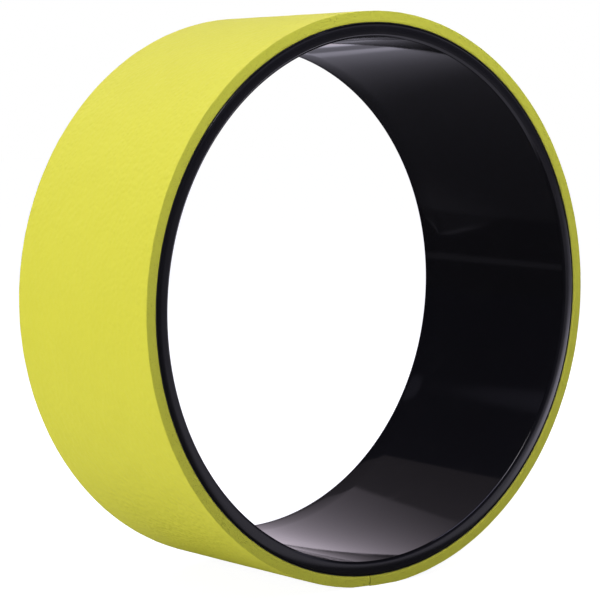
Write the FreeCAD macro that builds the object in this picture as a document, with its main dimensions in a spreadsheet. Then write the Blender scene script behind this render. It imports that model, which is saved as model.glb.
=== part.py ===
"""Yoga wheel: a moulded plastic ring with a foam mat bonded round it.

The wheel stands upright on -Z with its axle line along Y and its centre at the origin.
Its front, the side with the wider end of the bore, faces -Y.
"""
import FreeCAD, Part
import math
import os

import Sketcher
from FreeCAD import Placement, Rotation, Vector

doc = FreeCAD.newDocument("YogaWheel")

# Driving sizes in millimetres, angles in degrees.
SIZES = (
    ("wheel_diameter", 330.0, "across the mat"),
    ("wheel_width", 125.0, "mat, from side to side"),
    ("mat_thickness", 6.5, "foam strip"),
    ("mat_edge_bevel", 0.6, "softened corner between tread and side"),
    ("film_thickness", 0.3, "self-adhesive backing of the mat"),
    ("film_inset", 0.5, "backing stops short of the mat's side"),
    ("seam_gap", 0.4, "between the butted ends of the mat"),
    ("seam_round", 0.8, "lip of each butted end"),
    ("seam_angle", -3.0, "from straight down, towards +X"),
    ("contact_flat", 0.5, "depth of the patch pressed flat by the floor"),
    ("ring_wall", 7.9, "at the front rim, before the chamfer"),
    ("ring_inset", 0.2, "crest of the ring's end below the mat's side"),
    ("crown_radius", 28.0, "gentle curve across the ring's end face"),
    ("bore_draft", 1.0, "moulding draft, the bore narrows to the back"),
    ("bore_chamfer", 1.2, "both rims of the bore"),
    ("corner_bevel", 0.8, "ring's outer corners, under the mat's edge"),
)

sheet = doc.addObject("Spreadsheet::Sheet", "Sizes")
for row, (alias, value, note) in enumerate(SIZES, start=1):
    sheet.set(f"A{row}", alias)
    sheet.set(f"B{row}", str(value))
    sheet.setAlias(f"B{row}", alias)
    sheet.set(f"C{row}", note)
doc.recompute()

# Formulas that more than one piece is built from, so that neighbours share their faces.
TREAD_RADIUS = "(Sizes.wheel_diameter / 2)"
MAT_INNER = f"({TREAD_RADIUS} - Sizes.mat_thickness)"
RING_OUTER = f"({MAT_INNER} - Sizes.film_thickness)"
MAT_LENGTH = "(Sizes.wheel_width)"
FILM_LENGTH = "(Sizes.wheel_width - 2 * Sizes.film_inset)"
RING_CREST = "(Sizes.wheel_width / 2 - Sizes.ring_inset)"
FRONT_BORE = f"({RING_OUTER} - Sizes.ring_wall)"
CROWN_MIDDLE = f"({RING_OUTER} - Sizes.ring_wall / 2)"


def number(formula):
    """Value of a sheet formula, to draw a sketch close to its final form."""
    return float(sheet.evalExpression(formula))


def add_body(label):
    body = doc.addObject("PartDesign::Body", label)
    body.Label = label
    body.Placement = Placement()
    return body


def add_sketch(body, name, role):
    """Empty sketch on one of the body's own origin planes."""
    sketch = body.newObject("Sketcher::SketchObject", name)
    plane = next(item for item in body.Origin.OriginFeatures if item.Role == role)
    sketch.AttachmentSupport = [(plane, "")]
    sketch.MapMode = "FlatFace"
    return sketch


def dimension(sketch, name, formula, kind, *points):
    """Dimension of a sketch that follows the sheet."""
    index = sketch.addConstraint(Sketcher.Constraint(kind, *points, number(formula)))
    sketch.renameConstraint(index, name)
    sketch.setExpression(f"Constraints.{name}", formula)


def close_loop(sketch, curves):
    """Join the end of each curve to the start of the next."""
    for curve, following in zip(curves, curves[1:] + curves[:1]):
        sketch.addConstraint(Sketcher.Constraint("Coincident", curve, 2, following, 1))


def turn(body, sketch, name):
    """Revolve a half section, drawn with its radius along X, about the axle line."""
    turned = body.newObject("PartDesign::Revolution", name)
    turned.Profile = sketch
    turned.ReferenceAxis = (sketch, ["V_Axis"])
    turned.Angle = 360
    doc.recompute()
    return turned


def bevel_rims(body, name, formula):
    """Bevel the outermost circular edge on each side of a turned body."""
    base = body.Tip
    circles = []
    for index, edge in enumerate(base.Shape.Edges, start=1):
        if isinstance(edge.Curve, Part.Circle):
            circles.append((edge.Curve.Radius, f"Edge{index}"))
    widest = sorted(circles)[-2:]
    bevel = body.newObject("PartDesign::Chamfer", name)
    bevel.Base = (base, [edge for radius, edge in widest])
    bevel.setExpression("Size", formula)
    doc.recompute()


def cut_across(body, sketch, name):
    """Cut a sketch of the XZ plane right across the width of the body."""
    volume = body.Shape.Volume
    pocket = body.newObject("PartDesign::Pocket", name)
    pocket.Profile = sketch
    pocket.Type = "ThroughAll"
    pocket.Midplane = True
    doc.recompute()
    if body.Shape.Volume >= volume:
        raise RuntimeError(f"{name} cuts nothing")


def add_strip(label, inner, outer, length):
    """Strip of even thickness wrapped round the ring."""
    body = add_body(label)
    sketch = add_sketch(body, f"{label}_section", "XY_Plane")
    low = -number(length) / 2
    corners = [
        Vector(number(inner), low, 0),
        Vector(number(outer), low, 0),
        Vector(number(outer), -low, 0),
        Vector(number(inner), -low, 0),
    ]
    ends = corners[1:] + corners[:1]
    lines = [sketch.addGeometry(Part.LineSegment(a, b), False) for a, b in zip(corners, ends)]
    bottom, outside, top, inside = lines
    close_loop(sketch, lines)
    for line in (bottom, top):
        sketch.addConstraint(Sketcher.Constraint("Horizontal", line))
    sketch.addConstraint(Sketcher.Constraint("Symmetric", outside, 1, outside, 2, -1))
    sketch.addConstraint(Sketcher.Constraint("Vertical", inside))
    dimension(sketch, "inner_radius", inner, "DistanceX", -1, 1, bottom, 1)
    dimension(sketch, "outer_radius", outer, "DistanceX", -1, 1, bottom, 2)
    dimension(sketch, "length", length, "DistanceY", outside, 1, outside, 2)
    turn(body, sketch, f"{label}_turned")
    return body


def cut_seam(body):
    """Part the strip at its butt seam, with a rounded lip on each end where it meets the tread."""
    sketch = add_sketch(body, f"{body.Label}_seam_section", "XZ_Plane")
    sketch.AttachmentOffset = Placement(Vector(), Rotation(Vector(0, 0, 1), number("Sizes.seam_angle")))
    sketch.setExpression("AttachmentOffset.Rotation.Angle", "Sizes.seam_angle")

    half = number("Sizes.seam_gap") / 2
    lip = number("Sizes.seam_round")
    tread = -number(TREAD_RADIUS)
    top = tread + 2 * number("Sizes.mat_thickness")
    bottom = tread - number("Sizes.mat_thickness")
    axis = Vector(0, 0, 1)
    right_lip = Part.Circle(Vector(half + lip, tread + lip, 0), axis, lip)
    left_lip = Part.Circle(Vector(-half - lip, tread + lip, 0), axis, lip)

    def line(x_start, y_start, x_end, y_end):
        segment = Part.LineSegment(Vector(x_start, y_start, 0), Vector(x_end, y_end, 0))
        return sketch.addGeometry(segment, False)

    inner_end = line(-half, top, half, top)
    right_wall = line(half, top, half, tread + lip)
    right_arc = sketch.addGeometry(Part.ArcOfCircle(right_lip, math.pi, 1.5 * math.pi), False)
    right_exit = line(half + lip, tread, half + lip, bottom)
    outer_end = line(half + lip, bottom, -half - lip, bottom)
    left_exit = line(-half - lip, bottom, -half - lip, tread)
    left_arc = sketch.addGeometry(Part.ArcOfCircle(left_lip, 1.5 * math.pi, 2 * math.pi), False)
    left_wall = line(-half, tread + lip, -half, top)

    sketch.addConstraint(Sketcher.Constraint("Coincident", inner_end, 2, right_wall, 1))
    sketch.addConstraint(Sketcher.Constraint("Tangent", right_wall, 2, right_arc, 1))
    sketch.addConstraint(Sketcher.Constraint("Coincident", right_arc, 2, right_exit, 1))
    sketch.addConstraint(Sketcher.Constraint("Coincident", right_exit, 2, outer_end, 1))
    sketch.addConstraint(Sketcher.Constraint("Coincident", outer_end, 2, left_exit, 1))
    sketch.addConstraint(Sketcher.Constraint("Coincident", left_exit, 2, left_arc, 1))
    sketch.addConstraint(Sketcher.Constraint("Tangent", left_arc, 2, left_wall, 1))
    sketch.addConstraint(Sketcher.Constraint("Coincident", left_wall, 2, inner_end, 1))
    sketch.addConstraint(Sketcher.Constraint("Symmetric", inner_end, 1, inner_end, 2, -2))
    sketch.addConstraint(Sketcher.Constraint("Horizontal", outer_end))
    for upright in (right_wall, right_exit, left_wall, left_exit):
        sketch.addConstraint(Sketcher.Constraint("Vertical", upright))
    # Each lip's arc stops square below its centre, level with the tread.
    sketch.addConstraint(Sketcher.Constraint("Vertical", right_arc, 3, right_arc, 2))
    sketch.addConstraint(Sketcher.Constraint("Vertical", left_arc, 3, left_arc, 1))
    sketch.addConstraint(Sketcher.Constraint("Equal", right_arc, left_arc))
    sketch.addConstraint(Sketcher.Constraint("Horizontal", right_arc, 3, left_arc, 3))

    dimension(sketch, "gap", "Sizes.seam_gap", "DistanceX", inner_end, 1, inner_end, 2)
    dimension(sketch, "lip", "Sizes.seam_round", "Radius", right_arc)
    dimension(sketch, "tread", TREAD_RADIUS, "DistanceY", right_arc, 2, -1, 1)
    dimension(sketch, "reach_in", f"{MAT_INNER} - Sizes.mat_thickness", "DistanceY", inner_end, 1, -1, 1)
    dimension(sketch, "reach_out", f"{TREAD_RADIUS} + Sizes.mat_thickness", "DistanceY", outer_end, 1, -1, 1)
    cut_across(body, sketch, f"{body.Label}_seam")


def press_flat(body):
    """Flatten the patch of the tread that the wheel stands on."""
    sketch = add_sketch(body, f"{body.Label}_floor_section", "XZ_Plane")
    half = number(TREAD_RADIUS) / 2
    top = -number(f"{TREAD_RADIUS} - Sizes.contact_flat")
    bottom = -number(f"{TREAD_RADIUS} + Sizes.mat_thickness")
    corners = [
        Vector(-half, bottom, 0),
        Vector(half, bottom, 0),
        Vector(half, top, 0),
        Vector(-half, top, 0),
    ]
    ends = corners[1:] + corners[:1]
    lines = [sketch.addGeometry(Part.LineSegment(a, b), False) for a, b in zip(corners, ends)]
    below, right, floor, left = lines
    close_loop(sketch, lines)
    for level in (below, floor):
        sketch.addConstraint(Sketcher.Constraint("Symmetric", level, 1, level, 2, -2))
    sketch.addConstraint(Sketcher.Constraint("Vertical", right))
    dimension(sketch, "span", TREAD_RADIUS, "DistanceX", below, 1, below, 2)
    dimension(sketch, "floor", f"{TREAD_RADIUS} - Sizes.contact_flat", "DistanceY", floor, 1, -1, 1)
    dimension(sketch, "below", f"{TREAD_RADIUS} + Sizes.mat_thickness", "DistanceY", below, 1, -1, 1)
    cut_across(body, sketch, f"{body.Label}_floor_flat")


def draw_ring_end(sketch, side, bore):
    """Draw the corner bevel, crowned face and bore chamfer of one end of the ring's section.

    The side is -1 for the front and +1 for the back. The section runs anticlockwise, so the back is
    drawn from the outside to the bore and the front from the bore to the outside.
    """
    outer = number(RING_OUTER)
    crest = number(RING_CREST)
    middle = number(CROWN_MIDDLE)
    radius = number("Sizes.crown_radius")
    corner = number("Sizes.corner_bevel")
    chamfer = number("Sizes.bore_chamfer")

    def point(x, drop):
        return Vector(x, side * (crest - drop), 0)

    def crown_drop(x):
        return radius - math.sqrt(radius ** 2 - (x - middle) ** 2)

    face_outer = outer - corner
    face_inner = bore + chamfer
    path = [
        point(outer, crown_drop(face_outer) + corner),
        point(face_outer, crown_drop(face_outer)),
        point(face_inner, crown_drop(face_inner)),
        point(bore, crown_drop(face_inner) + chamfer),
    ]
    if side < 0:
        path.reverse()
    start, face_start, face_end, end = path
    return [
        sketch.addGeometry(Part.LineSegment(start, face_start), False),
        sketch.addGeometry(Part.Arc(face_start, point(middle, 0), face_end), False),
        sketch.addGeometry(Part.LineSegment(face_end, end), False),
    ]


def make_inner_ring():
    """Moulded ring: drafted bore, crowned end faces, chamfered rims and bevelled outer corners."""
    body = add_body("inner_ring")
    sketch = add_sketch(body, "ring_section", "XY_Plane")
    outer = number(RING_OUTER)
    crest = number(RING_CREST)
    front_bore = number(FRONT_BORE)
    draft = math.radians(number("Sizes.bore_draft"))
    back_bore = front_bore - 2 * crest * math.tan(draft)

    outside = sketch.addGeometry(Part.LineSegment(Vector(outer, -crest, 0), Vector(outer, crest, 0)), False)
    back_corner, back_face, back_chamfer = draw_ring_end(sketch, 1, back_bore)
    bore_line = Part.LineSegment(Vector(back_bore, crest, 0), Vector(front_bore, -crest, 0))
    bore = sketch.addGeometry(bore_line, False)
    front_chamfer, front_face, front_corner = draw_ring_end(sketch, -1, front_bore)
    close_loop(sketch, [
        outside, back_corner, back_face, back_chamfer, bore, front_chamfer, front_face, front_corner,
    ])

    bevels = ((back_corner, 135), (back_chamfer, -135), (front_chamfer, -45), (front_corner, 45))
    for line, angle in bevels:
        sketch.addConstraint(Sketcher.Constraint("Angle", line, math.radians(angle)))
    sketch.addConstraint(Sketcher.Constraint("Vertical", outside))
    sketch.addConstraint(Sketcher.Constraint("Equal", front_face, back_face))
    sketch.addConstraint(Sketcher.Constraint("Symmetric", front_face, 3, back_face, 3, -1))
    slope = sketch.addConstraint(Sketcher.Constraint("Angle", bore, draft - math.pi / 2))
    sketch.renameConstraint(slope, "bore_slope")
    sketch.setExpression("Constraints.bore_slope", "(Sizes.bore_draft - 90) * 1 deg")
    dimension(sketch, "outer_radius", RING_OUTER, "DistanceX", -1, 1, outside, 1)
    dimension(sketch, "front_bore", FRONT_BORE, "DistanceX", -1, 1, bore, 2)
    dimension(sketch, "crown", "Sizes.crown_radius", "Radius", front_face)
    dimension(sketch, "crown_middle", CROWN_MIDDLE, "DistanceX", -1, 1, front_face, 3)
    dimension(sketch, "crest", f"{RING_CREST} - Sizes.crown_radius", "DistanceY", front_face, 3, -1, 1)
    dimension(sketch, "front_corner", "Sizes.corner_bevel", "DistanceX", front_corner, 1, front_corner, 2)
    dimension(sketch, "back_corner", "Sizes.corner_bevel", "DistanceX", back_corner, 2, back_corner, 1)
    dimension(sketch, "front_chamfer", "Sizes.bore_chamfer", "DistanceX", front_chamfer, 1, front_chamfer, 2)
    dimension(sketch, "back_chamfer", "Sizes.bore_chamfer", "DistanceX", back_chamfer, 2, back_chamfer, 1)
    turn(body, sketch, "ring_turned")
    return body


def make_adhesive_film():
    """Self-adhesive backing of the mat, parted at the same seam."""
    body = add_strip("adhesive_film", RING_OUTER, MAT_INNER, FILM_LENGTH)
    cut_seam(body)
    return body


def make_foam_mat():
    """Foam strip with softened side edges, one butt seam and a patch flattened by the floor."""
    body = add_strip("foam_mat", MAT_INNER, TREAD_RADIUS, MAT_LENGTH)
    bevel_rims(body, "tread_edges", "Sizes.mat_edge_bevel")
    press_flat(body)
    cut_seam(body)
    return body


pieces = [make_inner_ring(), make_adhesive_film(), make_foam_mat()]
doc.recompute()

for item in doc.Objects:
    if "Invalid" in item.State or "Error" in item.State:
        raise RuntimeError(f"{item.Label} failed: {item.State}")
for piece in pieces:
    shape = piece.Shape
    if shape.isNull() or not shape.isValid() or len(shape.Solids) != 1:
        raise RuntimeError(f"{piece.Label} isn't one valid solid")

os.makedirs("parts", exist_ok=True)
for piece in pieces:
    box = piece.Shape.optimalBoundingBox(False)
    piece.Shape.exportStep(f"parts/{piece.Label}.step")
    print(f"{piece.Label}: {piece.Shape.Volume / 1000:.1f} cm3, "
          f"{box.XLength:.2f} x {box.YLength:.2f} x {box.ZLength:.2f} mm, lowest {box.ZMin:.2f}")
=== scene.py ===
# %% [markdown]
# # Yoga wheel
# A rigid black plastic ring with a lime foam mat bonded round it, standing upright on the floor.
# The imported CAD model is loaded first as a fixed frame. Every piece made here takes its place and its
# size from that frame, in metres, so nothing has to be fitted by eye. The wheel's axle line is Y, its
# front side faces -Y and it stands on -Z.

# %% Load the frame
import math

import bmesh
import bpy
from mathutils import Matrix, Vector, noise


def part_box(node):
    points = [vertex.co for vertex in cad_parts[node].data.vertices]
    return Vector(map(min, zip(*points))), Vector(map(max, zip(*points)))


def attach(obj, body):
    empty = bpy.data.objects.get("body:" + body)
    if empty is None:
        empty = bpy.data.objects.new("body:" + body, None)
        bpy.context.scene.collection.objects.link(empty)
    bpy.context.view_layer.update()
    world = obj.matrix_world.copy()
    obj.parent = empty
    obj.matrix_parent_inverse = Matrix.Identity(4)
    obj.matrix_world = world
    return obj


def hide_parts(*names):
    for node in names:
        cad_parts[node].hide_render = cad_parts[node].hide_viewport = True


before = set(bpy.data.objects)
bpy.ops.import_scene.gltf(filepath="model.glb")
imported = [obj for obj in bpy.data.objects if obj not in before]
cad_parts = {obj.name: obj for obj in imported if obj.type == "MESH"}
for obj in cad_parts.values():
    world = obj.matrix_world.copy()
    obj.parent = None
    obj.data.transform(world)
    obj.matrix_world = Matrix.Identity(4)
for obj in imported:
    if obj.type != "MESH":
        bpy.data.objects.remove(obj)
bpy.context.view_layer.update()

MM = 0.001
AXLE = (0, 1, 0)
FRONT = (0, -1, 0)
UP = (0, 0, 1)

# %% [markdown]
# ## Camera
# The photograph is taken from the front left, a little above the middle of the wheel, with a long lens.
# The place and the focal length come from fitting the wheel's circles to their outlines: a camera could
# also be moved by hand until it looks right, but a fit keeps the width of the tread and the shape of the
# opening true at the same time.

# %% Place the camera
scene = bpy.context.scene
scene.view_settings.view_transform = "Standard"

lens = bpy.data.cameras.new("photo_lens")
lens.sensor_width = 36.0
lens.lens = 131.13
lens.clip_start = 0.05
lens.clip_end = 50.0
camera = bpy.data.objects.new("photo_camera", lens)
scene.collection.objects.link(camera)
camera.location = (-0.829119, -0.995636, 0.101578)
line_of_sight = Vector((0.633594, 0.769444, -0.080711))
camera.rotation_mode = "QUATERNION"
camera.rotation_quaternion = line_of_sight.to_track_quat("-Z", "Y")
scene.camera = camera
print("camera:", round(camera.location.length, 3), "m from the wheel's centre")

# %% [markdown]
# ## Sizes
# The CAD boxes give the outer radii and the widths. The ring's bore and its small edges don't show in a
# box, so they are written here as the maker's numbers. The bore's front radius, the crown and the seam's
# place are the CAD model's own. The eased rims, the curl of the bore near the back and the seam are drawn
# finer than there, by less than a millimetre, because gloss shows every small edge.

# %% Read the sizes
ring_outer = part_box("inner_ring")[1].x
ring_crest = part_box("inner_ring")[1].y
mat_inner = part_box("adhesive_film")[1].x
mat_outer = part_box("foam_mat")[1].x
mat_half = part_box("foam_mat")[1].y
floor_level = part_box("foam_mat")[0].z

front_bore = 150.3 * MM  # radius at the front rim
lip_bore = 148.7 * MM  # radius where the curl starts
back_bore = 147.85 * MM  # radius at the back rim
lip_place = 53.0 * MM  # distance of the curl behind the middle
lip_round = 7.0 * MM
rim_wide = 1.35 * MM  # slope of the bore's rims, across the end face
rim_deep = 1.05 * MM  # and into the bore
rim_round = 0.35 * MM  # where a slope meets the bore
edge_round = 0.25 * MM  # where a slope meets the end face
corner_round = 1.3 * MM
crown_radius = 28.0 * MM
seam_angle = math.radians(-3.0)  # from straight down, below zero to the left
seam_gap = 0.55 * MM
hair = 0.01 * MM  # places closer than this count as one
print("ring", round(ring_outer / MM, 2), "bore", round(front_bore / MM, 2), "to", round(back_bore / MM, 2))
print("mat", round(mat_inner / MM, 2), "to", round(mat_outer / MM, 2), "floor", round(floor_level / MM, 2))

# %% [markdown]
# ## Moulded ring
# The ring is one plastic moulding. Its bore narrows slightly to the back so that it leaves the mould,
# and curls in a little more near the back rim. Its end faces are gently crowned, and the rims of the bore
# are cut at a slope, which catches a thin line of light. A tube primitive would give sharp flat ends, so
# the section is drawn instead: seven corners, each eased by bevelling its vertex by a different amount,
# and then spun round the axle.


# %% Draw the ring's section
def wire(bm, points):
    """Closed loop of edges through points of radius and distance along the axle."""
    corners = [bm.verts.new((radius, along, 0.0)) for radius, along in points]
    for start, end in zip(corners, corners[1:] + corners[:1]):
        bm.edges.new((start, end))
    return corners


def round_off(bm, corners, size, steps):
    """Round the corners of a wire section."""
    bmesh.ops.bevel(
        bm, geom=corners, offset=size, offset_type="OFFSET", segments=steps, profile=0.5,
        affect="VERTICES", material=-1,
    )


ring_shape = bmesh.new()
front_outer, back_outer, back_edge, back_rim, lip, front_rim, front_edge = wire(ring_shape, [
    (ring_outer, -ring_crest),
    (ring_outer, ring_crest),
    (back_bore + rim_wide, ring_crest),
    (back_bore, ring_crest - rim_deep),
    (lip_bore, lip_place),
    (front_bore, rim_deep - ring_crest),
    (front_bore + rim_wide, -ring_crest),
])
round_off(ring_shape, [lip], lip_round, 8)
round_off(ring_shape, [front_edge, back_edge], edge_round, 4)
round_off(ring_shape, [front_rim, back_rim], rim_round, 6)
round_off(ring_shape, [front_outer, back_outer], corner_round, 5)
print("ring section:", len(ring_shape.verts), "corners")


# %% Crown its end faces
def level(edge):
    """Whether an edge keeps its distance along the axle."""
    return abs(edge.verts[0].co.y - edge.verts[1].co.y) < hair


shortest_face = 2 * MM
end_zone = 3 * MM
face_middle = ring_outer - (ring_outer - front_bore) / 2
end_faces = [edge for edge in ring_shape.edges if level(edge) and edge.calc_length() > shortest_face]
bmesh.ops.subdivide_edges(ring_shape, edges=end_faces, cuts=9)
for corner in ring_shape.verts:
    if abs(corner.co.y) > ring_crest - end_zone:
        sideways = corner.co.x - face_middle
        drop = crown_radius - math.sqrt(crown_radius ** 2 - sideways ** 2)
        corner.co.y -= math.copysign(drop, corner.co.y)
print("crowned end faces:", len(end_faces))


# %% Spin it into the ring
def spin_round(bm, steps, angle=2 * math.pi):
    """Spin what is drawn round the axle line, closed on itself for a full turn."""
    bmesh.ops.spin(
        bm, geom=bm.verts[:] + bm.edges[:] + bm.faces[:], cent=(0, 0, 0), axis=AXLE, dvec=(0, 0, 0),
        angle=angle, space=Matrix.Identity(4), steps=steps, use_merge=angle >= 2 * math.pi,
        use_normal_flip=False, use_duplicate=False,
    )
    bmesh.ops.remove_doubles(bm, verts=bm.verts[:], dist=1e-6)
    bmesh.ops.recalc_face_normals(bm, faces=bm.faces[:])


def finish_piece(bm, name, node):
    """Put a finished shape in the scene in place of its CAD node."""
    for face in bm.faces:
        face.smooth = True
    mesh = bpy.data.meshes.new(name)
    bm.to_mesh(mesh)
    bm.free()
    piece = bpy.data.objects.new(name, mesh)
    scene.collection.objects.link(piece)
    weighted = piece.modifiers.new("even_shading", "WEIGHTED_NORMAL")
    weighted.weight = 60
    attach(piece, "root")
    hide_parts(node)
    print(name, len(mesh.polygons), "faces")
    return piece


around = 360
spin_round(ring_shape, around)
ring = finish_piece(ring_shape, "moulded_ring", "inner_ring")

# %% [markdown]
# ## Foam mat
# The mat is a strip of closed-cell foam cut square with a knife, wrapped once round the ring and butted
# end to end near the floor. It is flat where the wheel stands. Its two ends sink a little at the seam,
# which bows slightly as a cut by hand does, is pressed shut along its length and gapes only at its two
# ends. The sides are not quite true and lift off the ring by a hair. A torus or a tube would lose the
# seam, so the strip's cut end is made as a small grid and spun nearly once round, which leaves both ends
# closed.

# %% Wrap the strip
across = 30
through = 3
half_gap = seam_gap / 2 / mat_outer
strip = bmesh.new()
cut_end = Matrix.Translation(((mat_inner + mat_outer) / 2, 0, 0))
cut_end = cut_end @ Matrix.Diagonal(((mat_outer - mat_inner) / 2, mat_half, 1, 1))
bmesh.ops.create_grid(strip, x_segments=through, y_segments=across, size=1.0, matrix=cut_end)
first_turn = math.pi / 2 - (seam_angle - half_gap)
bmesh.ops.rotate(strip, verts=strip.verts[:], cent=(0, 0, 0), matrix=Matrix.Rotation(first_turn, 3, "Y"))
spin_round(strip, around, 2 * math.pi - 2 * half_gap)
print("strip:", len(strip.faces), "faces")


# %% Give the seam more points to bend with
def radius_of(point):
    """Distance from the axle line."""
    return math.hypot(point.x, point.z)


def from_seam(point):
    """Distance round the tread from the seam, to the left below zero and to the right above."""
    turn = math.atan2(point.x, -point.z) - seam_angle
    return ((turn + math.pi) % (2 * math.pi) - math.pi) * mat_outer


bend_reach = 16 * MM
near_seam = [
    edge for edge in strip.edges
    if level(edge)
    and abs(radius_of(edge.verts[0].co) - radius_of(edge.verts[1].co)) < hair
    and abs(from_seam((edge.verts[0].co + edge.verts[1].co) / 2)) < bend_reach
]
bmesh.ops.subdivide_edges(strip, edges=near_seam, cuts=3)
print("edges divided near the seam:", len(near_seam))


# %% Ease the knife-cut corners
def long_corners(radius):
    """Edges that run round the wheel where a cut side meets the tread or the ring."""
    return [
        edge for edge in strip.edges
        if level(edge) and all(
            abs(radius_of(v.co) - radius) < hair and abs(abs(v.co.y) - mat_half) < hair
            for v in edge.verts
        )
    ]


tread_ease = 0.28 * MM
inner_ease = 0.8 * MM
for radius, ease in ((mat_outer, tread_ease), (mat_inner, inner_ease)):
    corners = long_corners(radius)
    bmesh.ops.bevel(
        strip, geom=corners, offset=ease, offset_type="OFFSET", segments=3, profile=0.5,
        affect="EDGES", material=-1,
    )
    print("eased edges:", len(corners))


# %% Press the strip where it stands and where its ends meet
def ramp(value, low, high):
    """0 below low, 1 above high and a smooth step between."""
    t = min(1.0, max(0.0, (value - low) / (high - low)))
    return t * t * (3 - 2 * t)


# Each end of the strip: how far it sinks, over what length, and how far its cut side stands out.
left_end = (0.75 * MM, 15 * MM, 0.12 * MM)
right_end = (0.45 * MM, 9 * MM, -0.10 * MM)
step_reach = 9 * MM
lip_out = 0.35 * MM  # the left end's inner lip stands out more
lip_reach = 2.2 * MM
side_band = 1.2 * MM
side_waver = 0.16 * MM
tread_wander = 0.12 * MM
inner_lift = 0.5 * MM
inner_ragged = 0.25 * MM
inner_share = 0.25  # of the thickness, where the inner edge lifts
bow_size = 0.8 * MM
shut_size = 0.45 * seam_gap
shut_reach = 6 * MM
gape_long = 4.5 * MM  # the seam opens over this length
gape_full = 0.5 * MM  # and is fully open over this one
squash = 0.04  # what is left of the depth that would pass through the floor

for corner in strip.verts:
    point = corner.co
    radius = radius_of(point)
    turn = math.atan2(point.x, -point.z)
    depth = (radius - mat_inner) / (mat_outer - mat_inner)
    side = ramp(abs(point.y), mat_half - side_band, mat_half)
    along = from_seam(point)
    sinks, reach, stands_out = left_end if along < 0 else right_end

    # The ends sink, the tread wanders and the inner edges lift off the ring.
    sink = sinks * (1 - ramp(abs(along), 0, reach))
    wander = tread_wander * noise.noise(Vector((turn * 40, point.y / MM * 0.1, 3.0)))
    new_radius = radius - depth * (sink - wander)
    if depth < inner_share:
        ragged = inner_ragged * noise.noise(Vector((turn * 90, point.y / MM, 9.0)))
        new_radius += side * (inner_lift + ragged)

    # The cut sides waver, and one end stands out past the other at the seam.
    waver = side_waver * noise.noise(Vector((math.cos(turn) * 14, math.sin(turn) * 14, depth * 1.5)))
    step_out = stands_out * (1 - ramp(abs(along), 0, step_reach))
    if along < 0:
        step_out += lip_out * (1 - ramp(abs(along), 0, lip_reach)) * (1 - ramp(depth, 0.1, 0.6))

    # The seam bows, and is shut along its length.
    bow = bow_size * math.cos(point.y / mat_half * math.pi / 2) * (1 - ramp(abs(along), 0, bend_reach))
    shut = shut_size * (1 - ramp(abs(point.y), mat_half - gape_long, mat_half - gape_full))
    shut = shut * (1 - ramp(abs(along), 0, shut_reach))
    turn += (bow + (shut if along < 0 else -shut)) / mat_outer

    point.x = new_radius * math.sin(turn)
    point.z = -new_radius * math.cos(turn)
    point.y += side * (waver + step_out) * (1 if point.y > 0 else -1)
    if point.z < floor_level:
        point.z = floor_level + squash * (point.z - floor_level)
mat = finish_piece(strip, "foam_strip", "foam_mat")

# %% [markdown]
# ## Mixing finishes
# Each finish is a small recipe of nodes. Wiring nodes one by one is slow to read, so a value is wrapped
# in a class whose + - * add the Math nodes, and a recipe has a method for each kind of node that comes up
# more than once.


# %% Tools for the recipes
class Value:
    """A number, colour or direction on its way through a recipe."""

    def __init__(self, recipe, socket):
        self.recipe = recipe
        self.socket = socket

    def math(self, operation, *values):
        """Math node with the given values."""
        return self.recipe.node("ShaderNodeMath", {"operation": operation}, dict(enumerate(values)))

    def __add__(self, other):
        return self.math("ADD", self, other)

    def __radd__(self, other):
        return self.math("ADD", other, self)

    def __sub__(self, other):
        return self.math("SUBTRACT", self, other)

    def __rsub__(self, other):
        return self.math("SUBTRACT", other, self)

    def __mul__(self, other):
        return self.math("MULTIPLY", self, other)

    def __rmul__(self, other):
        return self.math("MULTIPLY", other, self)

    def __abs__(self):
        return self.math("ABSOLUTE", self)

    def step(self, low, high):
        """0 at low, 1 at high and smooth between."""
        return self.recipe.node(
            "ShaderNodeMapRange", {"interpolation_type": "SMOOTHSTEP"},
            {"Value": self, "From Min": low, "From Max": high},
        )

    def band(self, low, high, fall, end):
        """0 at low, 1 from high to fall and 0 again at end."""
        return self.step(low, high) - self.step(fall, end)

    def between(self, low, high):
        """The value, held between two limits."""
        return self.recipe.node("ShaderNodeClamp", None, {"Value": self, "Min": low, "Max": high})

    def dot(self, direction):
        """How far a place or direction goes along a given one."""
        return self.recipe.node(
            "ShaderNodeVectorMath", {"operation": "DOT_PRODUCT"}, {0: self, 1: direction}, out="Value",
        )

    def away_from(self, point):
        """Distance of a place from a given one."""
        return self.recipe.node(
            "ShaderNodeVectorMath", {"operation": "DISTANCE"}, {0: self, 1: point}, out="Value",
        )


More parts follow.
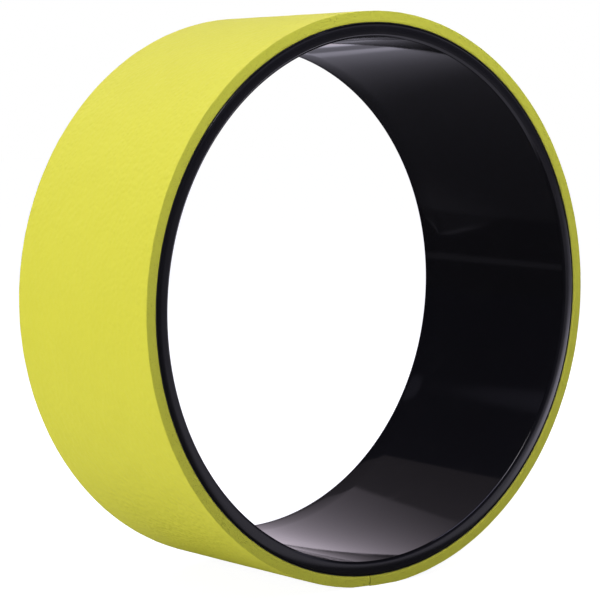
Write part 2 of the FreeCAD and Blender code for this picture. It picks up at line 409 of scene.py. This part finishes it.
class Recipe:
    """Nodes of a material or of the world."""

    def __init__(self, owner):
        owner.use_nodes = True
        self.tree = owner.node_tree
        self.tree.nodes.clear()

    def node(self, kind, settings=None, inputs=None, out=0):
        """Add a node, set it up first, then give its sockets values or links."""
        made = self.tree.nodes.new(kind)
        for name, setting in (settings or {}).items():
            setattr(made, name, setting)
        for name, value in (inputs or {}).items():
            if isinstance(value, Value):
                self.tree.links.new(value.socket, made.inputs[name])
            else:
                made.inputs[name].default_value = value
        return Value(self, made.outputs[out]) if made.outputs else made

    def place(self):
        """Place on the piece, in its own frame."""
        return self.node("ShaderNodeTexCoord", out="Object")

    def noise(self, place, scale, detail, roughness=0.5):
        """Cloudy noise from 0 to 1."""
        return self.node(
            "ShaderNodeTexNoise", None,
            {"Vector": place, "Scale": scale, "Detail": detail, "Roughness": roughness}, out="Fac",
        )

    def mix(self, share, first, second):
        """Blend of two colours."""
        return self.node(
            "ShaderNodeMix", {"data_type": "RGBA"}, {0: share, 6: first, 7: second}, out=2,
        )

    def bump(self, height, distance, strength=1.0):
        """Normal that follows a small relief."""
        return self.node(
            "ShaderNodeBump", None, {"Strength": strength, "Distance": distance, "Height": height},
        )

    def skin(self, inputs):
        """Finish the recipe with a solid surface."""
        self.surface(self.node("ShaderNodeBsdfPrincipled", None, inputs))

    def glow(self, colour, strength):
        """Light that a surface gives off."""
        return self.node("ShaderNodeEmission", None, {"Color": colour, "Strength": strength})

    def surface(self, shader):
        """Finish the recipe with a given surface."""
        self.node("ShaderNodeOutputMaterial", None, {"Surface": shader})


def new_finish(name):
    """Empty material and its recipe."""
    material = bpy.data.materials.new(name)
    return material, Recipe(material)


print("recipe tools ready")

# %% [markdown]
# ## Ring plastic
# Black ABS. The mould's core was polished, so the bore is a gloss mirror with a slight wave in it and a
# few rub marks. The end faces came from a blasted part of the mould and are satin, and their colour is
# painted a little lighter and more violet than the bore's, which is a painted sheen. One finish covers
# both:
# the distance along the axle tells bore from end face.

# %% Mix the ring plastic
plastic, r = new_finish("black_ring_plastic")
place = r.place()
end_face = abs(place.dot(AXLE)).step(ring_crest - 0.55 * MM, ring_crest - 0.30 * MM)
rub = r.noise(place, 55.0, 6.0, 0.62).step(0.5, 0.8)
grain = r.noise(place, 2600.0, 2.0)
wave = r.noise(place, 26.0, 1.0)
relief = wave * (1 - end_face) * 0.35 + grain * end_face * 0.02
# Painted sheen: the end faces take a lighter, more violet black than the bore.
shade = r.mix(end_face, (0.0020, 0.0019, 0.0028, 1), (0.0040, 0.0037, 0.0050, 1))
shade = r.mix(rub * 0.2, shade, (0.009, 0.0085, 0.010, 1))
dullness = 0.055 + rub * 0.05 + end_face * (0.08 + grain * 0.03)
r.skin({"Base Color": shade, "Roughness": dullness, "IOR": 1.5, "Normal": r.bump(relief, 0.12 * MM)})
ring.data.materials.append(plastic)
print("ring plastic:", len(r.tree.nodes), "nodes")

# %% [markdown]
# ## Foam
# Lime closed-cell foam. The skin of the tread is matte with a low pebbled grain of two to three
# millimetres, which shows where light grazes it. The cut sides show the cells as tiny dark pores, and
# their tone is painted a little darker than the tread's, which is painted shade.

# %% Mix the foam
foam, r = new_finish("lime_foam")
place = r.place()
cut_side = abs(place.dot(AXLE)).step(mat_half - 0.5 * MM, mat_half - 0.2 * MM)
pebble = r.node(
    "ShaderNodeTexVoronoi", {"feature": "SMOOTH_F1"},
    {"Vector": place, "Scale": 350.0, "Smoothness": 0.7, "Randomness": 1.0}, out="Distance",
)
fine = r.noise(place, 900.0, 3.0, 0.6)
patch = r.noise(place, 45.0, 4.0, 0.6)
cells = r.node(
    "ShaderNodeTexVoronoi", None, {"Vector": place, "Scale": 1150.0, "Randomness": 1.0}, out="Distance",
)
pore = (1 - cells.step(0.10, 0.28)) * cut_side
relief = (1 - pebble) * (1 - cut_side) * 0.55 + fine * 0.05 - pore * 0.6
tone = r.mix(patch, (0.682, 0.669, 0.057, 1), (0.711, 0.700, 0.067, 1))
# Painted shade: the cut sides take a darker tone than the tread.
tone = r.mix(cut_side, tone, (0.63, 0.627, 0.057, 1))
tone = r.mix(pore * 0.6, tone, (0.36, 0.36, 0.028, 1))
r.skin({
    "Base Color": tone,
    "Roughness": 0.72 + fine * 0.12,
    "Specular IOR Level": 0.35,
    "Normal": r.bump(relief, 1.0 * MM),
})
mat.data.materials.append(foam)
print("foam:", len(r.tree.nodes), "nodes")

# %% [markdown]
# ## Adhesive film
# The backing that bonds the mat stays as the CAD node. Only its edge shows, deep in the gap between
# foam and ring, as a dull dark line with dust in it.

# %% Mix the adhesive
tack, r = new_finish("adhesive_backing")
place = r.place()
dust = r.noise(place, 700.0, 4.0).step(0.45, 0.75)
streak = r.noise(place, 90.0, 2.0)
tint = r.mix(dust, (0.012, 0.012, 0.011, 1), (0.045, 0.044, 0.030, 1))
r.skin({
    "Base Color": tint,
    "Roughness": 0.45 + dust * 0.3,
    "Normal": r.bump(dust + streak, 0.1 * MM, 0.5),
})
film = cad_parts["adhesive_film"]
film.data.materials.clear()
film.data.materials.append(tack)
print("adhesive:", len(r.tree.nodes), "nodes")

# %% [markdown]
# ## Floor
# The photograph has a pure white ground, yet the gloss bore shows what really stood round the wheel. A
# mirror-like piece is only as good as what it mirrors, so the floor looks white to the camera, keeps a
# soft shadow, and shows other tones to gloss alone: dim close by and lighter in steps further back, lit in
# front, and on the left a paper's edge and a fold. Each tone is a soft-edged zone, told by how far a place
# lies along some direction.


# %% Lay the floor
def stage_sheet(name, half, stand):
    """Flat square that belongs to the studio, not to the wheel."""
    shape = bmesh.new()
    bmesh.ops.create_grid(shape, x_segments=1, y_segments=1, size=half, matrix=stand)
    mesh = bpy.data.meshes.new(name)
    shape.to_mesh(mesh)
    shape.free()
    sheet = bpy.data.objects.new(name, mesh)
    scene.collection.objects.link(sheet)
    finish, recipe = new_finish(name + "_finish")
    mesh.materials.append(finish)
    return sheet, recipe


toward = Vector((0.6356, 0.7720, 0.0))  # away from the camera
rightward = Vector((0.7720, -0.6356, 0.0))
floor, r = stage_sheet("studio_floor", 12.0, Matrix.Translation((0, 0, floor_level)))
place = r.place()
apart = place.away_from((0, 0, floor_level))
back = place.dot(toward)
deep = place.dot(AXLE)
ahead = place.dot(FRONT)
print(floor.name, "at", round(floor_level / MM, 1), "mm")

# %% Tone the floor behind the wheel and in front of it
rise = back.step(0.33, 0.85) * 0.38 + back.band(0.32, 0.45, 0.58, 0.70) * 0.04
bright_streak = back.step(0.70, 0.77) * 0.22 - back.step(0.83, 0.89) * 0.40
far_end = back.step(1.05, 1.25) * 0.65
behind = (rise + bright_streak + far_end) * place.dot(rightward).step(-1.2, -0.8)
before = place.dot((0.87, 0.50, 0)).step(-0.16, -0.09) * ahead.step(0.11, 0.15)
before = before * (0.55 - apart.step(0.7, 1.8) * 0.40)
pool = place.dot((0.658, 0.753, 0)).step(-0.02, 0.045) * ahead.step(0.06, 0.20)
pool = pool * apart.step(0.15, 0.75) * (1 - apart.step(0.9, 2.4) * 0.85) * 2.0
print("floor tones behind and in front:", len(r.tree.nodes), "nodes")

# %% Add the paper's edge and the fold on the left
paper_edge = place.dot((-0.874, 0.485, 0)).band(0.655, 0.70, 0.79, 0.83) * deep.step(0.40, 0.50) * 0.065
fold = place.dot((0.859, 0.512, 0)) - 0.038
in_fold = fold.step(0.0, 0.006) * (1 - place.dot((0.604, 0.797, 0)).step(0.230, 0.238))
crease = (1 - abs(fold).step(0.002, 0.006)) * deep.band(0.34, 0.43, 0.468, 0.484) * 0.13
leftward = place.dot((-0.98, 0.20, 0))
left_floor = leftward.step(0.19, 0.215) * deep.step(0.05, 0.20)
left_rise = leftward.step(0.06, 0.18) * (1 - left_floor) * deep.step(0.27, 0.38) * 0.04
left_tones = paper_edge + crease + left_rise - left_floor * (1 - in_fold) * 0.025
close_by = 0.078
mirrored = r.glow((1.0, 0.96, 1.16, 1), close_by + behind + before + pool + left_tones)
print("with the tones on the left:", len(r.tree.nodes), "nodes")

# %% Show gloss, camera and the rest each their own floor
to_camera = r.node("ShaderNodeLightPath", out="Is Camera Ray")
in_gloss = r.node("ShaderNodeLightPath", out="Is Glossy Ray")
paper = r.node("ShaderNodeBsdfDiffuse", None, {"Color": (0.60, 0.60, 0.60, 1)})
far_light = r.glow((0.92, 1.0, 0.85, 1), 0.12)
paper = r.node("ShaderNodeAddShader", None, {0: paper, 1: far_light})
shadow_catch = r.node("ShaderNodeBsdfDiffuse", None, {"Color": (0.30, 0.30, 0.30, 1)})
white = r.glow((1, 1, 1.05, 1), 0.90 + apart.step(0.25, 0.9) * 0.10)
lit = r.node("ShaderNodeAddShader", None, {0: white, 1: shadow_catch})
look = r.node("ShaderNodeMixShader", None, {0: in_gloss, 1: paper, 2: mirrored})
look = r.node("ShaderNodeMixShader", None, {0: to_camera, 1: look, 2: lit})
r.surface(look)
print("floor:", len(r.tree.nodes), "nodes")

# %% [markdown]
# ## Backdrop, card and room
# Behind the wheel the bore mirrors a paper backdrop that fades upwards and ends in a straight edge. A small
# bright card overhead gives the sloped rims their line of light, and a dim room with one window fills the
# rest of what the gloss sees. None of them is seen by the camera, to which all round the wheel is white.


# %% Stand the backdrop
def gloss_only(sheet):
    """Keep a sheet for reflections alone."""
    sheet.visible_camera = False
    sheet.visible_diffuse = False
    sheet.visible_shadow = False


stand = Matrix.Translation(toward * 1.3 + rightward * 0.15 + Vector((0, 0, 0.9)))
stand = stand @ toward.to_track_quat("Z", "Y").to_matrix().to_4x4()
backdrop, r = stage_sheet("backdrop", 1.35, stand)
gloss_only(backdrop)
place = r.place()
height = place.dot(UP)
to_right = place.dot(rightward)
above_paper = height.step(1.03, 1.07)
beside_paper = to_right.step(0.30, 0.42)
fade = (1.06 - height - 0.76 * to_right).between(0.12, 0.97)
paper_glow = fade * (1 - above_paper) * (1 - beside_paper)
wall_glow = 0.165 * above_paper
r.surface(r.glow((1.0, 0.885, 1.03, 1), paper_glow + wall_glow))
print("backdrop:", len(r.tree.nodes), "nodes")

# %% Hold a card overhead
card_place = Vector((-0.38, -0.45, 1.0))
card_stand = Matrix.Translation(card_place) @ card_place.to_track_quat("Z", "Y").to_matrix().to_4x4()
card, r = stage_sheet("overhead_card", 0.22, card_stand)
gloss_only(card)
r.surface(r.glow((1.0, 0.96, 1.04, 1), 7.0))
print("overhead card at", [round(v, 2) for v in card_place])

# %% Surround them with white
surround = bpy.data.worlds.new("white_surround")
scene.world = surround
r = Recipe(surround)
direction = r.node("ShaderNodeTexCoord", out="Generated")
to_camera = r.node("ShaderNodeLightPath", out="Is Camera Ray")
in_gloss = r.node("ShaderNodeLightPath", out="Is Glossy Ray")
lamp_haze = direction.dot((-0.550, 0.633, 0.545)).step(0.9945, 0.9992)
tall = direction.dot(UP)
window = direction.dot((0.85, -0.53, 0)).step(0.58, 0.75) * tall.band(0.13, 0.22, 0.42, 0.58)
near_side = direction.dot(FRONT).step(0.2, 0.6)
dim_room = 0.055 + near_side * 0.055 + lamp_haze * 0.09 + window * 0.28
brightness = to_camera + (1 - to_camera) * in_gloss * dim_room
tint = r.mix(to_camera, (0.96, 0.93, 1.25, 1), (1, 1, 1, 1))
sky = r.node("ShaderNodeBackground", None, {"Color": tint, "Strength": brightness})
r.node("ShaderNodeOutputWorld", None, {"Surface": sky})
print("surround:", len(r.tree.nodes), "nodes")

# %% [markdown]
# ## Lights
# A large soft box on the left and one overhead light the mat, and a narrow strip close in front picks out
# the cut side. Two weaker boxes on the right and behind light the sides that the photograph doesn't show.


# %% Hang the lights
def soft_box(name, place, aim, wide, high, power, colour=(1, 1, 1), in_gloss=False):
    """Flat soft light at a place, aimed at a point."""
    lamp = bpy.data.lights.new(name, "AREA")
    lamp.shape = "RECTANGLE"
    lamp.size = wide
    lamp.size_y = high
    lamp.energy = power
    lamp.color = colour
    holder = bpy.data.objects.new(name, lamp)
    scene.collection.objects.link(holder)
    holder.location = place
    holder.rotation_mode = "QUATERNION"
    holder.rotation_quaternion = (Vector(aim) - Vector(place)).to_track_quat("-Z", "Y")
    holder.visible_camera = False
    holder.visible_glossy = in_gloss


centre = (0, 0, 0)
soft_box("left_box", (-1.4, 0.0, 0.0), centre, 1.0, 1.0, 17.0, (1.0, 0.97, 0.90))
soft_box("roof_box", (0.0, 0.0, 1.4), centre, 1.2, 1.2, 14.0, (1.0, 0.96, 1.40), in_gloss=True)
soft_box("front_strip", (0.10, -0.34, 0.28), (0.06, 0, 0.20), 1.2, 0.12, 1.5, (0.98, 1.0, 1.02))
soft_box("right_box", (1.4, 0.3, 0.1), centre, 1.0, 1.0, 11.0)
soft_box("back_strip", (0.0, 0.6, 0.35), centre, 1.2, 0.2, 2.0)
